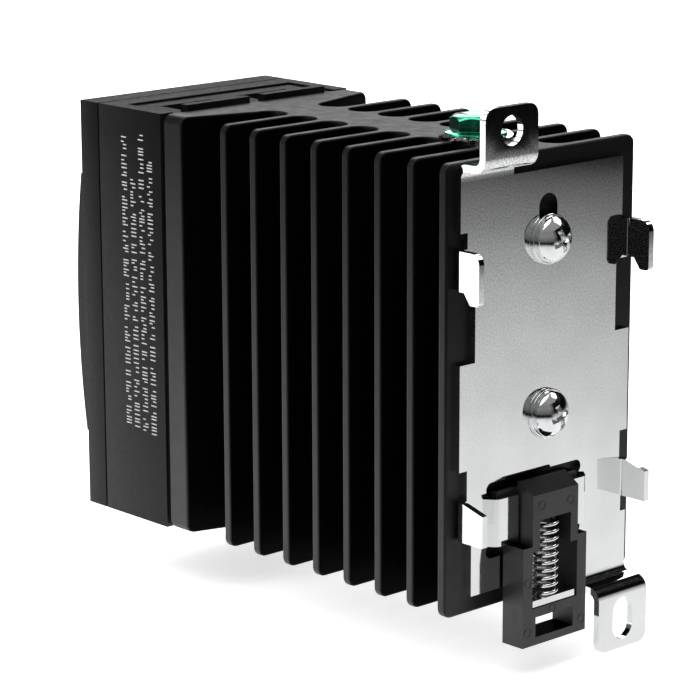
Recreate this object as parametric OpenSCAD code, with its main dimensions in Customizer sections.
// Solid state relay on a finned heatsink, with a spring latch for a 35 mm top-hat rail.
// Frame: the rail seats on the steel plate's outer face, at Y = 0, and its centre line is Z = 0.
// +Y points to the rail, -Y to the relay's front, +Z up along the fins.

/* [Heatsink] */
// Width of the heatsink
sink_w = 45; // [44.6:0.2:47]
// Height of the heatsink, along the fins
sink_h = 76.8; // [76.8:0.2:77.6]
// Number of thin fins
fin_count = 7; // [5:1:9]
// Distance from one fin to the next
fin_pitch = 7.84; // [6:0.02:9]
// Thickness of a fin
fin_t = 1.9; // [1.4:0.1:2.4]
// Thickness of the end plate behind the rail plate
end_t = 2; // [1.6:0.1:3]
// Gap between the end plate and the first fin
end_gap = 5.6; // [4:0.1:7]
// Gap between the last fin and the edge of the base plate
base_gap = 10.36; // [8:0.02:12]
// Thickness of the base plate at its side edges
base_t = 5; // [4:0.1:6]
// Thickness of the base plate where it meets the web
base_root_t = 9.2; // [8.6:0.1:11]
// Width of the central web
web_w = 10; // [9:0.2:14]
// Corner radius of the fins, seen from the rail
sink_corner_r = 1.6; // [0.4:0.1:3]

/* [Rail plate] */
// Thickness of the steel sheet
sheet_t = 1.2; // [1:0.1:1.4]
// Half width of the plate
plate_half = 20.5; // [20:0.1:21]
// Height of the plate's top edge
plate_top = 35.3; // [34:0.1:36]
// Height of the plate's bottom edge, below the rail line
plate_low = 35.1; // [34:0.1:36]
// Width of the rail that the hooks and the latch hold
rail_w = 35; // [34.6:0.1:35.4]
// How far the hooks stand out of the plate
hook_out = 4.8; // [4:0.1:5.4]
// How far the panel ears and the side tabs stand out of the plate
ear_out = 5.4; // [5:0.1:6.5]
// Inner bend radius of the ears
bend_r = 1.2; // [0.8:0.1:1.4]
// Radius of the round hole in the upper panel ear
ear_hole_r = 2.5; // [2.1:0.1:2.8]
// Width of the slot in the lower panel ear
foot_slot_w = 5; // [4:0.1:5.2]
// Length of the slot in the lower panel ear
foot_slot_l = 7.6; // [6:0.1:8]

/* [Latch] */
// Distance from the middle of the plate to the latch's centre line
latch_x = 2.65; // [2:0.05:3]
// How far the latch slides down
latch_travel = 5; // [3:0.5:5]
// Outer diameter of the latch spring
spring_d = 4.7; // [4:0.1:5]
// Diameter of the spring wire
spring_wire_d = 0.66; // [0.5:0.02:0.7]
// Number of turns of the latch spring
spring_turns = 10; // [8:1:10]

/* [Relay module] */
// Width of the housing
case_w = 45.2; // [45:0.1:46]
// Depth of the housing, from the heatsink to the cover's seam
case_d = 18.1; // [18.1:0.1:19]
// Depth of the flat part of the front cover
cover_d = 5.45; // [5:0.05:7]
// Wall thickness of the housing's sides
wall = 2; // [1.8:0.1:2.2]
// Height of the crowned middle of the front cover
crown_h = 49.2; // [40:0.2:50]
// Step at the two ends of the crowned middle
crown_step = 0.95; // [0.6:0.05:1.5]
// Rise of the crown's curve over that step
crown_rise = 1.85; // [1:0.05:3]
// Distance of the terminals from the middle, along X
terminal_x = 9.2; // [8.8:0.1:9.4]
// Distance of the terminals from the middle, along Z
terminal_z = 30; // [29.5:0.1:30.2]
// How far a load terminal's cage closes
load_travel = 5; // [4:0.5:5]
// How far a control terminal's cage closes
control_travel = 3.4; // [2.4:0.2:3.4]

/* [Hidden] */
$fn = 48;
slack = 0.05;               // radial clearance of a screw in its hole
past = 1;                   // how far a cutter runs past a face

// Heatsink, from the rail side to the front
sink_back = -sheet_t;
first_fin = sink_back - end_t - end_gap;
last_fin = first_fin - (fin_count - 1) * fin_pitch - fin_t;
base_back = last_fin - base_gap;
sink_front = base_back - base_t;
sink_d = sink_back - sink_front;
slot_r = (fin_pitch - fin_t) / 2;

// Ground screw
ground_y = sink_back - 15.9;
ground_r = 2.5;
ground_washer_r = 6.5;
ground_washer_t = 0.7;
tooth_count = 10;
tooth_gap = 1.4;
tooth_depth = 1.5;
ground_flange_r = 5.4;
ground_flange_t = 0.6;
ground_head_h = 2.8;
ground_across = 7.8;

// Plate screws and what they pass through
screw_high = 23.5;
screw_low = -6.5;
screw_r = 2;
screw_hole_r = 2.2;
screw_slot_top = 29;
washer_r = 4.3;
washer_t = 0.8;
head_r = 3.9;
head_h = 3;
head_dome_r = 4.6;
screw_depth = 12;

// Rail plate: each side notch is [side, inner edge, bottom, top]
rail_edge = rail_w / 2;
hook_half = plate_half + 0.6;
hook_top = 24.3;
finger_low = rail_edge - 1.8;
neck_half = 17;
neck_low = 5;
tab_top = -18.3;
tab_low = -24.9;
side_notches = [
    [1, 18.9, hook_top, 27],
    [1, neck_half, neck_low, rail_edge + 0.1],
    [1, 18.7, tab_top, -13.1],
    [1, 17.6, -plate_low - past, tab_low],
    [-1, 18.3, hook_top + 0.6, plate_top + past],
    [-1, neck_half, neck_low, rail_edge + 0.1],
    [-1, 18.7, tab_top, -13.1],
    [-1, 19.2, -27.7, tab_low]
];
ear_in = 8.3;
ear_bend = 36.1;
ear_top = 47.9;
ear_hole_z = 43.9;
foot_bend = -37.4;
foot_low = -50.3;
foot_slot_z = -44.9;
ear_mid = (plate_half + ear_in) / 2;
ear_corner_r = 1.8;

// Guide bridge: two ears cut and raised out of the plate
guide_half = 11.3;
guide_top = -18.7;
guide_low = -26.9;
guide_slot_h = 2.5;
guide_out = 2.1;
guide_reach = 5.9;
tongue_top = -37.1;
tongue_low = -38.2;
tongue_half = 5.1;
tongue_out = 4.9;

// Latch
latch_back = 0.4;
latch_front = 5.15;
latch_half = 7.7;
latch_low = -44.8;
latch_shoulder = -27.3;
latch_neck_half = 5.5;
latch_lip = -18.5;
nose_top = -16.5;
nose_back = 1.45;
rim_floor = -rail_edge - 0.15;
wing_half = 9.8;
wing_back = -0.9;
wing_front = 0.75;
wing_low = guide_low - guide_slot_h + latch_travel + 0.1;
window_top = -23;
window_half = 3.75;
bay_top = -28.3;
bay_half = 5.45;
bay_low = -38.25;
pry_half = 4.6;
pry_top = -39.9;
pry_low = -43.4;

// Spring
spring_y = 2.86;
spring_wire_r = spring_wire_d / 2;
spring_mean_r = spring_d / 2 - spring_wire_r;
spring_low = tongue_top + spring_wire_r;
spring_high = window_top - spring_wire_r;
spring_steps = 14;
spring_sides = 6;

// Relay module, from the heatsink to the front
pad_t = 0.3;
case_back = sink_front - pad_t;
case_front = case_back - case_d;
cover_front = case_front - cover_d;
case_half = case_w / 2;
case_top = sink_h / 2;
rear_wall = 2;
cap_wall = 2.2;
cavity_half = case_half - wall;
cavity_top = case_top - cap_wall;
cavity_back = case_back - rear_wall;
divider_z = 22;
divider_t = 1.6;
rib_half = 1;

// Metal carrier and what is on it
carrier_half = 13.5;
carrier_top = 21.5;
carrier_front = case_back - rear_wall;
carrier_screw_z = 18.6;
small_screw_r = 1.5;
small_head_r = 2.75;
small_head_h = 2;
ceramic_half = 13;
ceramic_top = 15;
ceramic_t = 0.65;
ceramic_front = carrier_front - ceramic_t;
die_side = 8;
die_t = 0.4;
die_x = 5.5;
die_z = -4;

// Housing screws
case_screw_x = 17.4;
case_screw_z = 14;
boss_r = 3.2;
boss_front = cavity_back - 3.6;

// Circuit board and its parts
board_back = cavity_back - 7.6;
board_t = 1.6;
board_front = board_back - board_t;
board_half = 20.2;
board_top = 10.5;
board_low = -21.5;
ledge_in = 18.4;
led_z = 7.5;
led_r = 1.5;
led_h = 4;
led_x = 0;
pin_r = 0.4;
pin_z = -9;
pin_pitch = 4;

// Load terminals, whose cages leave a closed gap behind the bar at the end of their travel
load_bar_front = case_back - 10.6;
load_bar_t = 1.2;
load_bar_w = 8;
load_closed = 0.4;
load_space = load_travel + load_closed;
load_cage_t = 1.5;
load_cage_side = 1.3;
load_cage_in = 9;
load_cage_h = 8;
load_screw_r = 2;
load_head_r = 3.5;
load_head_h = 2.6;
load_foot_low = 7;
load_riser_z = 12;

// Control terminals
control_bar_front = case_back - 9;
control_bar_t = 1;
control_bar_w = 5.6;
control_closed = 0.2;
control_space = control_travel + control_closed;
control_cage_t = 1.1;
control_cage_side = 1;
control_cage_in = 6.4;
control_cage_h = 7;
control_screw_r = 1.5;
control_head_r = 2.75;
control_head_h = 2.6;
control_leg_z = -20.3;
terminal_reach = 5;
cage_gap = 0.2;
head_back = case_back - 17.6;

// Shadow grooves round the housing's two joints
groove_w = 0.4;
groove_d = 0.6;

// Wire entries on the top and the bottom of the housing
collar_half = 7.45;
collar_h = 1;
collar_d = 1.8;
shelf_front = case_back - 13.4;
shelf_half = 19.6;
shelf_drop = 0.4;
funnel = 0.8;
load_entry_half = 6;
control_entry_half = 3.4;

// Front cover
cover_wall = 1.75;
crown_half = case_half - 0.5;
crown_y = cover_front - crown_step;
crown_r = (crown_h * crown_h / 4 + crown_rise * crown_rise) / (2 * crown_rise);
crown_axis = crown_y - crown_rise + crown_r;
crown_sides = 720;
skirt_d = 2;
skirt_t = 1.2;
fit_gap = 0.2;
access_r = 2.6;
guard_r = 4.4;
marker_t = 0.5;
marker_half = 14;
marker_top = 3;
marker_low = -17;

// A block from its ranges along X, Y and Z
module block(x, y, z) {
    translate([x[0], y[0], z[0]]) cube([x[1] - x[0], y[1] - y[0], z[1] - z[0]]);
}

// A round bar along Y
module bar_y(r, y0, y1, x = 0, z = 0) {
    translate([x, y0, z]) rotate([-90, 0, 0]) cylinder(r = r, h = y1 - y0);
}

// A bar along Z
module bar_z(r, z0, z1, x = 0, y = 0) {
    translate([x, y, z0]) cylinder(r = r, h = z1 - z0);
}

// An outline drawn in X and Z, thickened along Y
module slab_y(y0, y1) {
    translate([0, y1, 0]) rotate([90, 0, 0]) linear_extrude(y1 - y0) children();
}

// An outline drawn in Y and Z, thickened along X
module slab_x(x0, x1) {
    translate([x0, 0, 0]) rotate([90, 0, 90]) linear_extrude(x1 - x0) children();
}

// A centred rectangle with round corners
module rounded_square(w, h, r) {
    square([w - 2 * r, h], center = true);
    square([w, h - 2 * r], center = true);
    for (x = [-1, 1], y = [-1, 1]) translate([x * (w / 2 - r), y * (h / 2 - r)]) circle(r);
}

// An upright slot with round ends, between two centres
module upright_slot(r, z0, z1) {
    translate([-r, z0]) square([2 * r, z1 - z0]);
    for (z = [z0, z1]) translate([0, z]) circle(r);
}

// ---- Heatsink ----

// Gap between two fins on the +X side, round at the web
module fin_gap(y0, y1) {
    r = (y1 - y0) / 2;
    translate([web_w / 2 + r, (y0 + y1) / 2]) circle(r);
    translate([web_w / 2 + r, y0]) square([sink_w / 2, 2 * r]);
}

// Gap beside the base plate, which thickens toward the web
module root_gap() {
    root_back = sink_front + base_root_t;
    r = (last_fin - root_back) / 2;
    centre = web_w / 2 + r;
    edge = sink_w / 2;
    slope = (base_back - root_back) / (edge - centre);
    translate([centre, root_back + r]) circle(r);
    polygon([
        [centre, root_back], [edge + past, base_back + slope * past],
        [edge + past, last_fin], [centre, last_fin]
    ]);
}

module heatsink_section() {
    difference() {
        translate([-sink_w / 2, sink_front]) square([sink_w, sink_d]);
        for (side = [0, 1]) mirror([side, 0]) {
            fin_gap(first_fin, first_fin + end_gap);
            for (i = [0 : fin_count - 2]) {
                fin_back = first_fin - i * fin_pitch - fin_t;
                fin_gap(fin_back - 2 * slot_r, fin_back);
            }
            root_gap();
        }
    }
}

module heatsink() {
    color([0.08, 0.08, 0.085]) difference() {
        intersection() {
            translate([0, 0, -sink_h / 2]) linear_extrude(sink_h) heatsink_section();
            slab_y(sink_front, sink_back) rounded_square(sink_w, sink_h, sink_corner_r);
        }
        bar_z(ground_r + slack, sink_h / 2 - 13, sink_h / 2 + past, 0, ground_y);
        for (z = [screw_low, screw_high])
            bar_y(screw_r + slack, sink_back - screw_depth, sink_back + past, 0, z);
        for (side = [-1, 1])
            bar_y(small_screw_r + slack, sink_front - past, sink_front + 8, 0, side * carrier_screw_z);
        for (x = [-1, 1], z = [-1, 1])
            bar_y(small_screw_r + slack, sink_front - past, sink_front + 4.6,
                  x * case_screw_x, z * case_screw_z);
    }
}

// A lock washer with teeth round its edge
module ground_washer() {
    color("silver") difference() {
        bar_z(ground_washer_r, sink_h / 2, sink_h / 2 + ground_washer_t, 0, ground_y);
        bar_z(ground_r + 0.2, sink_h / 2 - past, sink_h / 2 + 2 * past, 0, ground_y);
        for (i = [0 : tooth_count - 1]) translate([0, ground_y, sink_h / 2])
            rotate([0, 0, 360 * i / tooth_count])
                block([ground_washer_r - tooth_depth, ground_washer_r + past],
                      [-tooth_gap / 2, tooth_gap / 2], [-past, ground_washer_t + past]);
    }
}

module ground_screw() {
    seat = sink_h / 2 + ground_washer_t;
    head = seat + ground_flange_t;
    color([0.05, 0.45, 0.25]) {
        bar_z(ground_r, sink_h / 2 - 11, seat + 0.2, 0, ground_y);
        bar_z(ground_flange_r, seat, head, 0, ground_y);
        translate([0, ground_y, head - 0.1])
            cylinder(r = ground_across / sqrt(3), h = ground_head_h + 0.1, $fn = 6);
    }
}

// ---- Rail plate ----

module plate_outline() {
    difference() {
        translate([-plate_half, -plate_low]) square([2 * plate_half, plate_low + plate_top]);
        for (n = side_notches)
            translate([n[0] > 0 ? n[1] : -n[1] - 10, n[2]]) square([10, n[3] - n[2]]);
        upright_slot(screw_hole_r, screw_high, screw_slot_top);
        translate([0, screw_low]) circle(screw_hole_r);
        translate([latch_x - guide_half, guide_low]) square([2 * guide_half, guide_top - guide_low]);
        for (z = [guide_top + guide_slot_h / 2, guide_low - guide_slot_h / 2])
            translate([latch_x, z]) rounded_square(2 * guide_half + 0.4, guide_slot_h, guide_slot_h / 2 - 0.01);
    }
}

// One raised guide ear on the +X side of the latch's centre line
module guide_ear() {
    block([guide_half - sheet_t, guide_half], [-sheet_t, guide_out], [guide_low, guide_top]);
    block([guide_reach, guide_half], [guide_out - sheet_t, guide_out], [guide_low, guide_top]);
}

// A hook's side view: its finger reaches down behind the rail's rim
module hook_profile() {
    polygon([
        [-sheet_t, hook_top], [hook_out - 1.2, hook_top], [hook_out - 0.4, hook_top - 0.4],
        [hook_out, hook_top - 1.2], [hook_out, finger_low + 0.7], [hook_out - 0.5, finger_low],
        [2.9, finger_low], [1.5, rail_edge + 0.1], [-sheet_t, rail_edge + 0.1]
    ]);
}

// A quarter of a bent sheet, in the first quadrant
module bend_quarter() {
    intersection() {
        difference() {
            circle(bend_r + sheet_t);
            circle(bend_r);
        }
        square(10);
    }
}

// The double bend that carries an ear out of the plate, drawn upward from the first bend
module joggle_profile() {
    second_y = ear_out - bend_r - sheet_t;
    ledge = bend_r;
    translate([-sheet_t, -past]) square([sheet_t, past]);
    translate([bend_r, 0]) mirror([1, 0]) bend_quarter();
    translate([bend_r, ledge]) square([second_y - bend_r, sheet_t]);
    translate([second_y, ledge + sheet_t + bend_r]) mirror([0, 1]) bend_quarter();
}

// An ear from its first bend: the joggle, then the flat end with round corners
module panel_ear(bend_z, end_z) {
    flat_z = bend_z + 2 * bend_r + sheet_t;
    tall = end_z - flat_z;
    translate([0, 0, bend_z]) slab_x(ear_in, plate_half) joggle_profile();
    slab_y(ear_out - sheet_t, ear_out) difference() {
        translate([ear_mid, (flat_z + end_z) / 2])
            rounded_square(plate_half - ear_in, tall, ear_corner_r);
        translate([ear_in - past, flat_z - past]) square([30, past]);
    }
    block([ear_in, plate_half], [ear_out - sheet_t, ear_out], [flat_z, flat_z + ear_corner_r + 0.1]);
}

module din_plate() {
    color([0.75, 0.76, 0.78]) difference() {
        union() {
            slab_y(-sheet_t, 0) plate_outline();
            for (side = [0, 1]) translate([latch_x, 0, 0]) mirror([side, 0, 0]) guide_ear();
            for (side = [0, 1]) mirror([side, 0, 0]) {
                slab_x(hook_half - sheet_t, hook_half) hook_profile();
                block([plate_half - sheet_t, plate_half], [-sheet_t, ear_out], [tab_low, tab_top]);
            }
            block([ear_in, plate_half], [-sheet_t, 0], [plate_top - past, ear_bend]);
            panel_ear(ear_bend, ear_top);
            block([-plate_half, -ear_in], [-sheet_t, 0], [foot_bend, -plate_low + past]);
            mirror([1, 0, 0]) mirror([0, 0, 1]) panel_ear(-foot_bend, -foot_low);
            block([latch_x - tongue_half, latch_x + tongue_half], [-sheet_t, 0],
                  [tongue_low, -plate_low + past]);
            block([latch_x - tongue_half, latch_x + tongue_half], [-sheet_t, tongue_out],
                  [tongue_low, tongue_top]);
        }
        bar_y(ear_hole_r, 0, ear_out + past, ear_mid, ear_hole_z);
        slab_y(1, ear_out + past) translate([-ear_mid, 0])
            upright_slot(foot_slot_w / 2, foot_slot_z - (foot_slot_l - foot_slot_w) / 2,
                         foot_slot_z + (foot_slot_l - foot_slot_w) / 2);
    }
}

module plate_washers() {
    color("silver") for (z = [screw_low, screw_high]) difference() {
        bar_y(washer_r, 0, washer_t, 0, z);
        bar_y(screw_hole_r, -past, washer_t + past, 0, z);
    }
}

// A cross recess, cut from the face at y0 down to y1, for a driver along Y
module cross_recess(y0, y1, long) {
    for (turn = [0, 90]) translate([0, (y0 + y1) / 2, 0]) rotate([0, turn, 0])
        cube([long, abs(y1 - y0), long / 5], center = true);
}

module plate_screws() {
    color("silver") for (z = [screw_low, screw_high]) translate([0, 0, z]) difference() {
        union() {
            bar_y(screw_r, sink_back - screw_depth + 1, washer_t + 0.1);
            translate([0, washer_t, 0]) rotate([-90, 0, 0]) rotate_extrude() intersection() {
                translate([0, head_h - head_dome_r]) circle(head_dome_r);
                square([head_r, head_h]);
            }
        }
        cross_recess(washer_t + head_h + 0.1, washer_t + head_h - 1.6, 4.4);
    }
}

// ---- Latch ----

module latch_profile() {
    polygon([
        [latch_back, latch_shoulder - past], [latch_front, latch_shoulder - past],
        [latch_front, latch_lip], [nose_back + 0.5, nose_top], [nose_back, nose_top],
        [nose_back, rim_floor], [latch_back, rim_floor]
    ]);
}

module din_slider() {
    color([0.1, 0.1, 0.1]) translate([latch_x, 0, 0]) difference() {
        union() {
            block([-latch_half, latch_half], [latch_back, latch_front], [latch_low, latch_shoulder]);
            slab_x(-latch_neck_half, latch_neck_half) latch_profile();
            block([-wing_half, wing_half], [wing_back, wing_front], [wing_low, rim_floor]);
        }
        block([-window_half, window_half], [-5, 10], [bay_top - past, window_top]);
        block([-bay_half, bay_half], [-5, 10], [bay_low, bay_top]);
        block([-pry_half, pry_half], [-5, 10], [pry_low, pry_top]);
    }
}

// One cross-section of the wire, at a given part of the spring's length
function ring(f) = [
    for (k = [0 : spring_sides - 1])
        let (
            turn = 360 * spring_turns * f,
            a = 360 * k / spring_sides,
            r = spring_mean_r + spring_wire_r * cos(a),
            z = spring_low + (spring_high - spring_low) * f + spring_wire_r * sin(a)
        ) [latch_x + r * cos(turn), spring_y + r * sin(turn), z]
];

module slider_spring() {
    rings = spring_turns * spring_steps;
    n = spring_sides;
    color("silver") polyhedron(
        points = [for (i = [0 : rings]) each ring(i / rings)],
        faces = concat(
            [[for (k = [0 : n - 1]) k]],
            [for (i = [0 : rings - 1], k = [0 : n - 1])
                let (a = i * n + k, b = i * n + (k + 1) % n) [a, a + n, b + n, b]],
            [[for (k = [0 : n - 1]) rings * n + n - 1 - k]]
        )
    );
}

// ---- Power stage ----

module thermal_pad() {
    color([0.6, 0.6, 0.62]) difference() {
        block([-carrier_half, carrier_half], [case_back, sink_front], [-carrier_top, carrier_top]);
        for (side = [-1, 1])
            bar_y(small_screw_r + 0.2, case_back - past, sink_front + past, 0, side * carrier_screw_z);
    }
}

module base_plate() {
    color([0.72, 0.45, 0.3]) difference() {
        block([-carrier_half, carrier_half], [carrier_front, case_back], [-carrier_top, carrier_top]);
        for (side = [-1, 1])
            bar_y(small_screw_r + 0.2, carrier_front - past, case_back + past, 0, side * carrier_screw_z);
    }
}

// A small pan-head screw along Y, its head seated at the given face
module small_screw(seat, tip) {
    difference() {
        union() {
            bar_y(small_screw_r, seat - 0.2, tip);
            bar_y(small_head_r, seat - small_head_h, seat);
        }
        cross_recess(seat - small_head_h - 0.1, seat - small_head_h + 1, 3);
    }
}

module base_screws() {
    color("silver") for (side = [-1, 1])
        translate([0, 0, side * carrier_screw_z]) small_screw(carrier_front, sink_front + 6.5);
}

module ceramic_substrate() {
    color("ivory")
        block([-ceramic_half, ceramic_half], [ceramic_front, carrier_front], [-ceramic_top, ceramic_top]);
}

module thyristor_dies() {
    color([0.3, 0.32, 0.38]) for (x = [-die_x, die_x])
        block([x - die_side / 2, x + die_side / 2], [ceramic_front - die_t, ceramic_front],
              [die_z - die_side / 2, die_z + die_side / 2]);
}

// A copper strap from the substrate out to a load terminal
module load_busbar() {
    bar_back = load_bar_front + load_bar_t;
    x = [terminal_x - load_bar_w / 2, terminal_x + load_bar_w / 2];
    riser_top = load_riser_z + load_bar_t;
    block([x[0], ceramic_half], [ceramic_front - load_bar_t, ceramic_front], [load_foot_low, riser_top]);
    block([x[0], ceramic_half], [load_bar_front, ceramic_front], [load_riser_z, riser_top]);
    block(x, [load_bar_front, bar_back], [load_riser_z, terminal_z + terminal_reach]);
}

module load_busbars() {
    color([0.8, 0.5, 0.3]) for (side = [0, 1]) mirror([side, 0, 0]) load_busbar();
}

// ---- Terminals ----

// A cage that a screw draws forward, to clamp a wire against the bar inside it
module cage(bar_front, bar_t, space, sheet, side_t, inside, tall, bore_r) {
    front = bar_front - cage_gap - sheet;
    back = bar_front + bar_t + space + sheet;
    half = inside / 2;
    difference() {
        block([-half - side_t, half + side_t], [front, back], [-tall / 2, tall / 2]);
        block([-half, half], [front + sheet, back - sheet], [-tall, tall]);
        bar_y(bore_r, front - past, front + sheet + past);
    }
}

module load_cage(side) {
    color([0.78, 0.78, 0.72]) translate([side * terminal_x, 0, terminal_z])
        cage(load_bar_front, load_bar_t, load_space, load_cage_t, load_cage_side, load_cage_in,
             load_cage_h, load_screw_r + slack);
}

module control_cage(side) {
    color([0.78, 0.78, 0.72]) translate([side * terminal_x, 0, -terminal_z])
        cage(control_bar_front, control_bar_t, control_space, control_cage_t, control_cage_side,
             control_cage_in, control_cage_h, control_screw_r + slack);
}

// A terminal screw that turns in place, its tip on the bar
module terminal_screw(bar_front, r, cap_r, cap_h) {
    difference() {
        union() {
            bar_y(r, head_back - 0.2, bar_front - 0.02);
            bar_y(cap_r, head_back - cap_h, head_back);
        }
        cross_recess(head_back - cap_h - 0.1, head_back - cap_h + 1.3, cap_r * 1.1);
    }
}

module load_screw(side) {
    color("silver") translate([side * terminal_x, 0, terminal_z])
        terminal_screw(load_bar_front, load_screw_r, load_head_r, load_head_h);
}

module control_screw(side) {
    color("silver") translate([side * terminal_x, 0, -terminal_z])
        terminal_screw(control_bar_front, control_screw_r, control_head_r, control_head_h);
}

module load_cage_left() { load_cage(-1); }
module load_cage_right() { load_cage(1); }
module load_screw_left() { load_screw(-1); }
module load_screw_right() { load_screw(1); }
module control_cage_left() { control_cage(-1); }
module control_cage_right() { control_cage(1); }
module control_screw_left() { control_screw(-1); }
module control_screw_right() { control_screw(1); }

module control_contacts() {
    half = control_bar_w / 2;
    leg_top = control_leg_z + 0.8;
    color([0.8, 0.5, 0.3]) for (side = [-1, 1]) translate([side * terminal_x, 0, 0]) {
        block([-half, half], [control_bar_front, control_bar_front + control_bar_t],
              [-terminal_z - terminal_reach, leg_top]);
        block([-0.6, 0.6], [board_front - 0.8, control_bar_front + 0.1], [control_leg_z, leg_top]);
    }
}

// ---- Circuit board ----

module circuit_board() {
    color([0.08, 0.35, 0.2]) difference() {
        block([-board_half, board_half], [board_front, board_back], [board_low, board_top]);
        for (i = [-1 : 1]) bar_y(pin_r + slack, board_front - past, board_back + past, i * pin_pitch, pin_z);
        for (side = [-1, 1]) translate([side * terminal_x, 0, 0])
            block([-0.7, 0.7], [board_front - past, board_back + past],
                  [control_leg_z - 0.1, control_leg_z + 0.9]);
    }
}

module gate_pins() {
    color("gold") for (i = [-1 : 1])
        bar_y(pin_r, board_front - 0.8, ceramic_front, i * pin_pitch, pin_z);
}

module optocoupler() {
    color([0.12, 0.12, 0.12]) block([-12, -3], [board_front - 3.5, board_front], [-6, 0.5]);
}

module snubber_capacitor() {
    color([0.75, 0.2, 0.15]) block([3, 16], [board_front - 6, board_front], [-3, 2]);
}

module snubber_resistor() {
    color([0.3, 0.5, 0.7]) translate([4, board_front - 1.35, -13.6]) rotate([0, 90, 0])
        cylinder(r = 1.3, h = 8);
}

module varistor() {
    color([0.2, 0.35, 0.7]) bar_z(4.4, -15.6, -12, -9, board_front - 4.6);
}

module status_led() {
    color([0.2, 0.8, 0.3]) bar_y(led_r, board_front - led_h, board_front, led_x, led_z);
}

// ---- Housing and cover ----

// The raised bar behind one wire entry in the top wall, on the +X side
module entry_collar() {
    block([terminal_x - collar_half, terminal_x + collar_half], [case_back - collar_d, case_back],
          [case_top - cap_wall, case_top + collar_h]);
}

// The hole that a wire goes through, its rear edge sloped to lead the wire in
module entry_cut(half, space_back, space_front) {
    mouth = case_top - shelf_drop;
    slab_x(terminal_x - half, terminal_x + half) polygon([
        [space_back + funnel, mouth + past], [space_back + funnel, mouth],
        [space_back, mouth - funnel], [space_back, cavity_top - past],
        [space_front, cavity_top - past], [space_front, mouth + past]
    ]);
}

// A block of the housing's outline, with a shadow groove round its rear edge
module grooved_block(front, back) {
    inset = groove_d;
    block([-case_half, case_half], [front, back - groove_w], [-case_top, case_top]);
    block([inset - case_half, case_half - inset], [back - groove_w - 0.1, back],
          [inset - case_top, case_top - inset]);
}

module housing_shell() {
    difference() {
        union() {
            difference() {
                grooved_block(case_front, case_back);
                for (side = [0, 1]) mirror([0, 0, side])
                    block([-shelf_half, shelf_half], [shelf_front, case_back + past],
                          [case_top - shelf_drop, case_top + past]);
            }
            for (up = [0, 1], side = [0, 1]) mirror([side, 0, 0]) mirror([0, 0, up]) entry_collar();
        }
        block([-cavity_half, cavity_half], [case_front - past, cavity_back], [-cavity_top, cavity_top]);
        block([-carrier_half - 0.1, carrier_half + 0.1], [cavity_back - past, case_back + past],
              [-carrier_top - 0.1, carrier_top + 0.1]);
        for (side = [0, 1]) mirror([side, 0, 0]) {
            entry_cut(load_entry_half, load_bar_front + load_bar_t + load_space,
                      load_bar_front + load_bar_t);
            mirror([0, 0, 1]) entry_cut(control_entry_half,
                control_bar_front + control_bar_t + control_space, control_bar_front);
        }
    }
}

// Dividers between the electronics and the terminals, and a rib between the terminals
module housing_dividers() {
    for (up = [0, 1]) mirror([0, 0, up]) {
        block([-cavity_half, cavity_half], [case_front + skirt_d + 0.3, cavity_back + 0.1],
              [divider_z, divider_z + divider_t]);
        block([-rib_half, rib_half], [case_front + skirt_d + 0.3, cavity_back + 0.1],
              [divider_z, cavity_top + 0.1]);
    }
}

module housing() {
    color([0.1, 0.1, 0.1]) difference() {
        union() {
            housing_shell();
            difference() {
                housing_dividers();
                for (side = [-1, 1]) translate([side * terminal_x, 0, 0]) {
                    block([-load_bar_w / 2 - 0.1, load_bar_w / 2 + 0.1],
                          [load_bar_front - 0.1, load_bar_front + load_bar_t + 0.1],
                          [divider_z - past, divider_z + divider_t + past]);
                    block([-control_bar_w / 2 - 0.1, control_bar_w / 2 + 0.1],
                          [control_bar_front - 0.1, control_bar_front + control_bar_t + 0.1],
                          [-divider_z - divider_t - past, -divider_z + past]);
                }
            }
            for (x = [-1, 1], z = [-1, 1])
                bar_y(boss_r, boss_front, cavity_back + 0.1, x * case_screw_x, z * case_screw_z);
            for (x = [0, 1], z = [-8, 3]) mirror([x, 0, 0])
                block([ledge_in, cavity_half + 0.1], [board_back, cavity_back + 0.1], [z, z + 5]);
        }
        for (x = [-1, 1], z = [-1, 1])
            bar_y(small_screw_r + 0.2, boss_front - past, case_back + past,
                  x * case_screw_x, z * case_screw_z);
    }
}

module housing_screws() {
    color("silver") for (x = [-1, 1], z = [-1, 1])
        translate([x * case_screw_x, 0, z * case_screw_z]) small_screw(boss_front, sink_front + 4.2);
}

// The crowned middle: a cylinder's cap, axis along X
module crown(extra, half, low, high) {
    intersection() {
        translate([-half, crown_axis, 0]) rotate([0, 90, 0])
            cylinder(r = crown_r + extra, h = 2 * half, $fn = crown_sides);
        block([-half, half], [crown_y - crown_rise - 2, cover_front + 0.1], [low, high]);
    }
}

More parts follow.
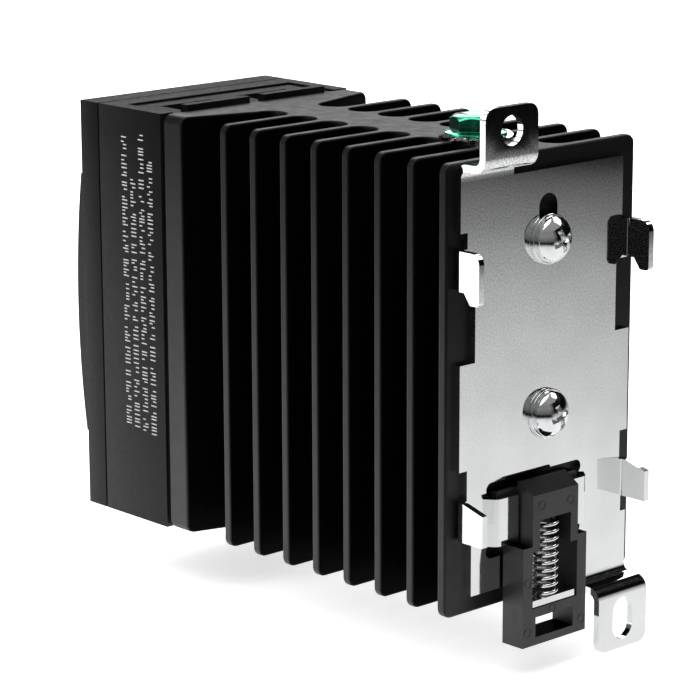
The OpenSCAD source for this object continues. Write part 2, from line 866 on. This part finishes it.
module front_cover() {
    inner_front = cover_front + cover_wall;
    color([0.1, 0.1, 0.1]) difference() {
        union() {
            grooved_block(cover_front, case_front);
            crown(0, crown_half, -crown_h / 2, crown_h / 2);
            difference() {
                block([-cavity_half + fit_gap, cavity_half - fit_gap], [case_front, case_front + skirt_d],
                      [-cavity_top + fit_gap, cavity_top - fit_gap]);
                block([-cavity_half + fit_gap + skirt_t, cavity_half - fit_gap - skirt_t],
                      [case_front - past, case_front + skirt_d + past],
                      [-cavity_top + fit_gap + skirt_t, cavity_top - fit_gap - skirt_t]);
            }
        }
        difference() {
            block([-cavity_half + 1.2, cavity_half - 1.2], [inner_front, case_front + past],
                  [-cavity_top + 1.4, cavity_top - 1.4]);
            for (x = [-1, 1], z = [-1, 1])
                bar_y(guard_r, inner_front - 0.1, head_back - load_head_h - 0.2,
                      x * terminal_x, z * terminal_z);
        }
        block([-cavity_half + 1.2, cavity_half - 1.2], [crown_y + 0.6, inner_front + past],
              [-crown_h / 2 + 2, crown_h / 2 - 2]);
        for (x = [-1, 1], z = [-1, 1])
            bar_y(access_r, cover_front - past, case_front, x * terminal_x, z * terminal_z);
        bar_y(led_r + slack, crown_y - crown_rise - 2, case_front, led_x, led_z);
    }
}

module light_pipe() {
    color([0.85, 0.95, 0.88, 0.5])
        bar_y(led_r, crown_y - crown_rise + 0.1, board_front - led_h - 0.2, led_x, led_z);
}

module marker_plate() {
    color([0.85, 0.85, 0.83]) difference() {
        crown(marker_t, marker_half, marker_low, marker_top);
        translate([-marker_half - past, crown_axis, 0]) rotate([0, 90, 0])
            cylinder(r = crown_r, h = 2 * marker_half + 2 * past, $fn = crown_sides);
    }
}

heatsink();
ground_screw();
ground_washer();
din_plate();
plate_screws();
plate_washers();
din_slider();
slider_spring();
thermal_pad();
base_plate();
base_screws();
ceramic_substrate();
thyristor_dies();
load_busbars();
load_cage_left();
load_cage_right();
load_screw_left();
load_screw_right();
housing();
housing_screws();
circuit_board();
gate_pins();
optocoupler();
snubber_capacitor();
snubber_resistor();
varistor();
status_led();
light_pipe();
control_contacts();
control_cage_left();
control_cage_right();
control_screw_left();
control_screw_right();
front_cover();
marker_plate();
